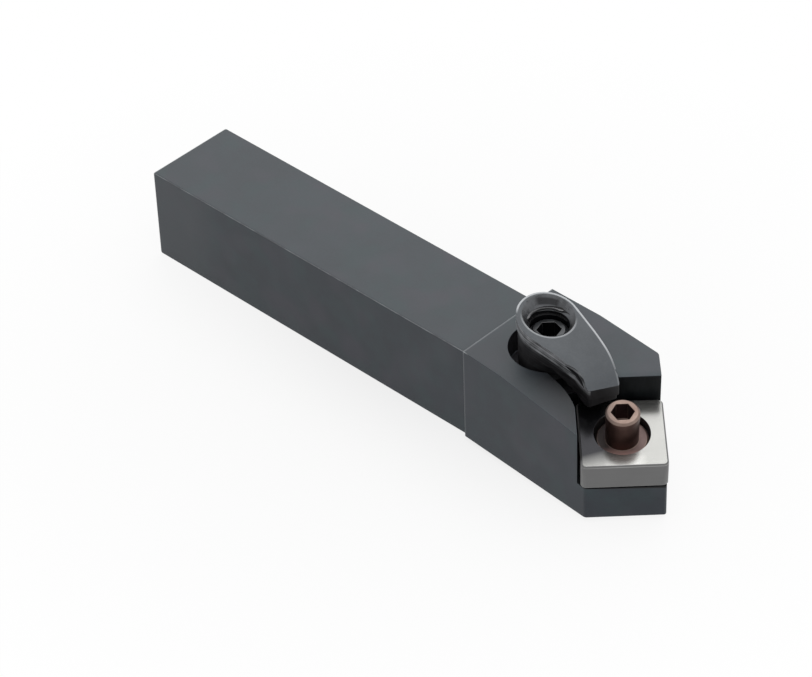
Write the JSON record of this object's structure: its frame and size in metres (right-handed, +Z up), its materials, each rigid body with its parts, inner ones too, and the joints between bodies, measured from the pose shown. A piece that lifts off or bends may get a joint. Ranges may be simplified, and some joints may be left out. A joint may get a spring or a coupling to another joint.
{
  "type": "turning tool holder",
  "caption": "Left-hand external turning tool holder: square shank, 45 degree pocket with a bright seat plate, a lock pin, and a finger clamp on a double-ended screw.",
  "frame": {"origin": "centre of the shank's back end, on the shank's axis", "axes": "+X along the shank towards the cutting tip, +Z up out of the pocket, +Y to the side away from the seat's near corner"},
  "size_m": [0.1022, 0.0219, 0.0239],
  "materials": {
    "black_oxide_steel": "black oxide, satin",
    "bright_steel": "bright ground",
    "brown_steel": "brown temper finish, satin",
    "forged_black_steel": "black oxide on a forged surface"
  },
  "bodies": {
    "holder": {"holder_body": "black_oxide_steel", "shim": "bright_steel"},
    "clamp": {"clamp": "forged_black_steel"},
    "clamp_screw": {"clamp_screw": "forged_black_steel"},
    "lock_pin": {"lock_pin": "brown_steel"}
  },
  "joints": [
    {"name": "clamp_lift", "type": "slide", "parent": "holder", "child": "clamp", "axis": [0, 0, 1], "range_m": [-0.0008, 0.005]},
    {"name": "clamp_screw_turn", "type": "hinge", "parent": "clamp", "child": "clamp_screw", "pos_m": [0.07683, 0.00016, 0.006], "axis": [0, 0, 1], "range_deg": [-145, 901]},
    {"name": "lock_pin_turn", "type": "hinge", "parent": "holder", "child": "lock_pin", "pos_m": [0.09315, -0.00235, -0.00064], "axis": [0.0984, -0.0984, 0.9903], "range_deg": [0, 360]}
  ],
  "couplings": [
    {"joint": "clamp_screw_turn", "follows": "clamp_lift", "rad_per_m": 3141.6}
  ]
}
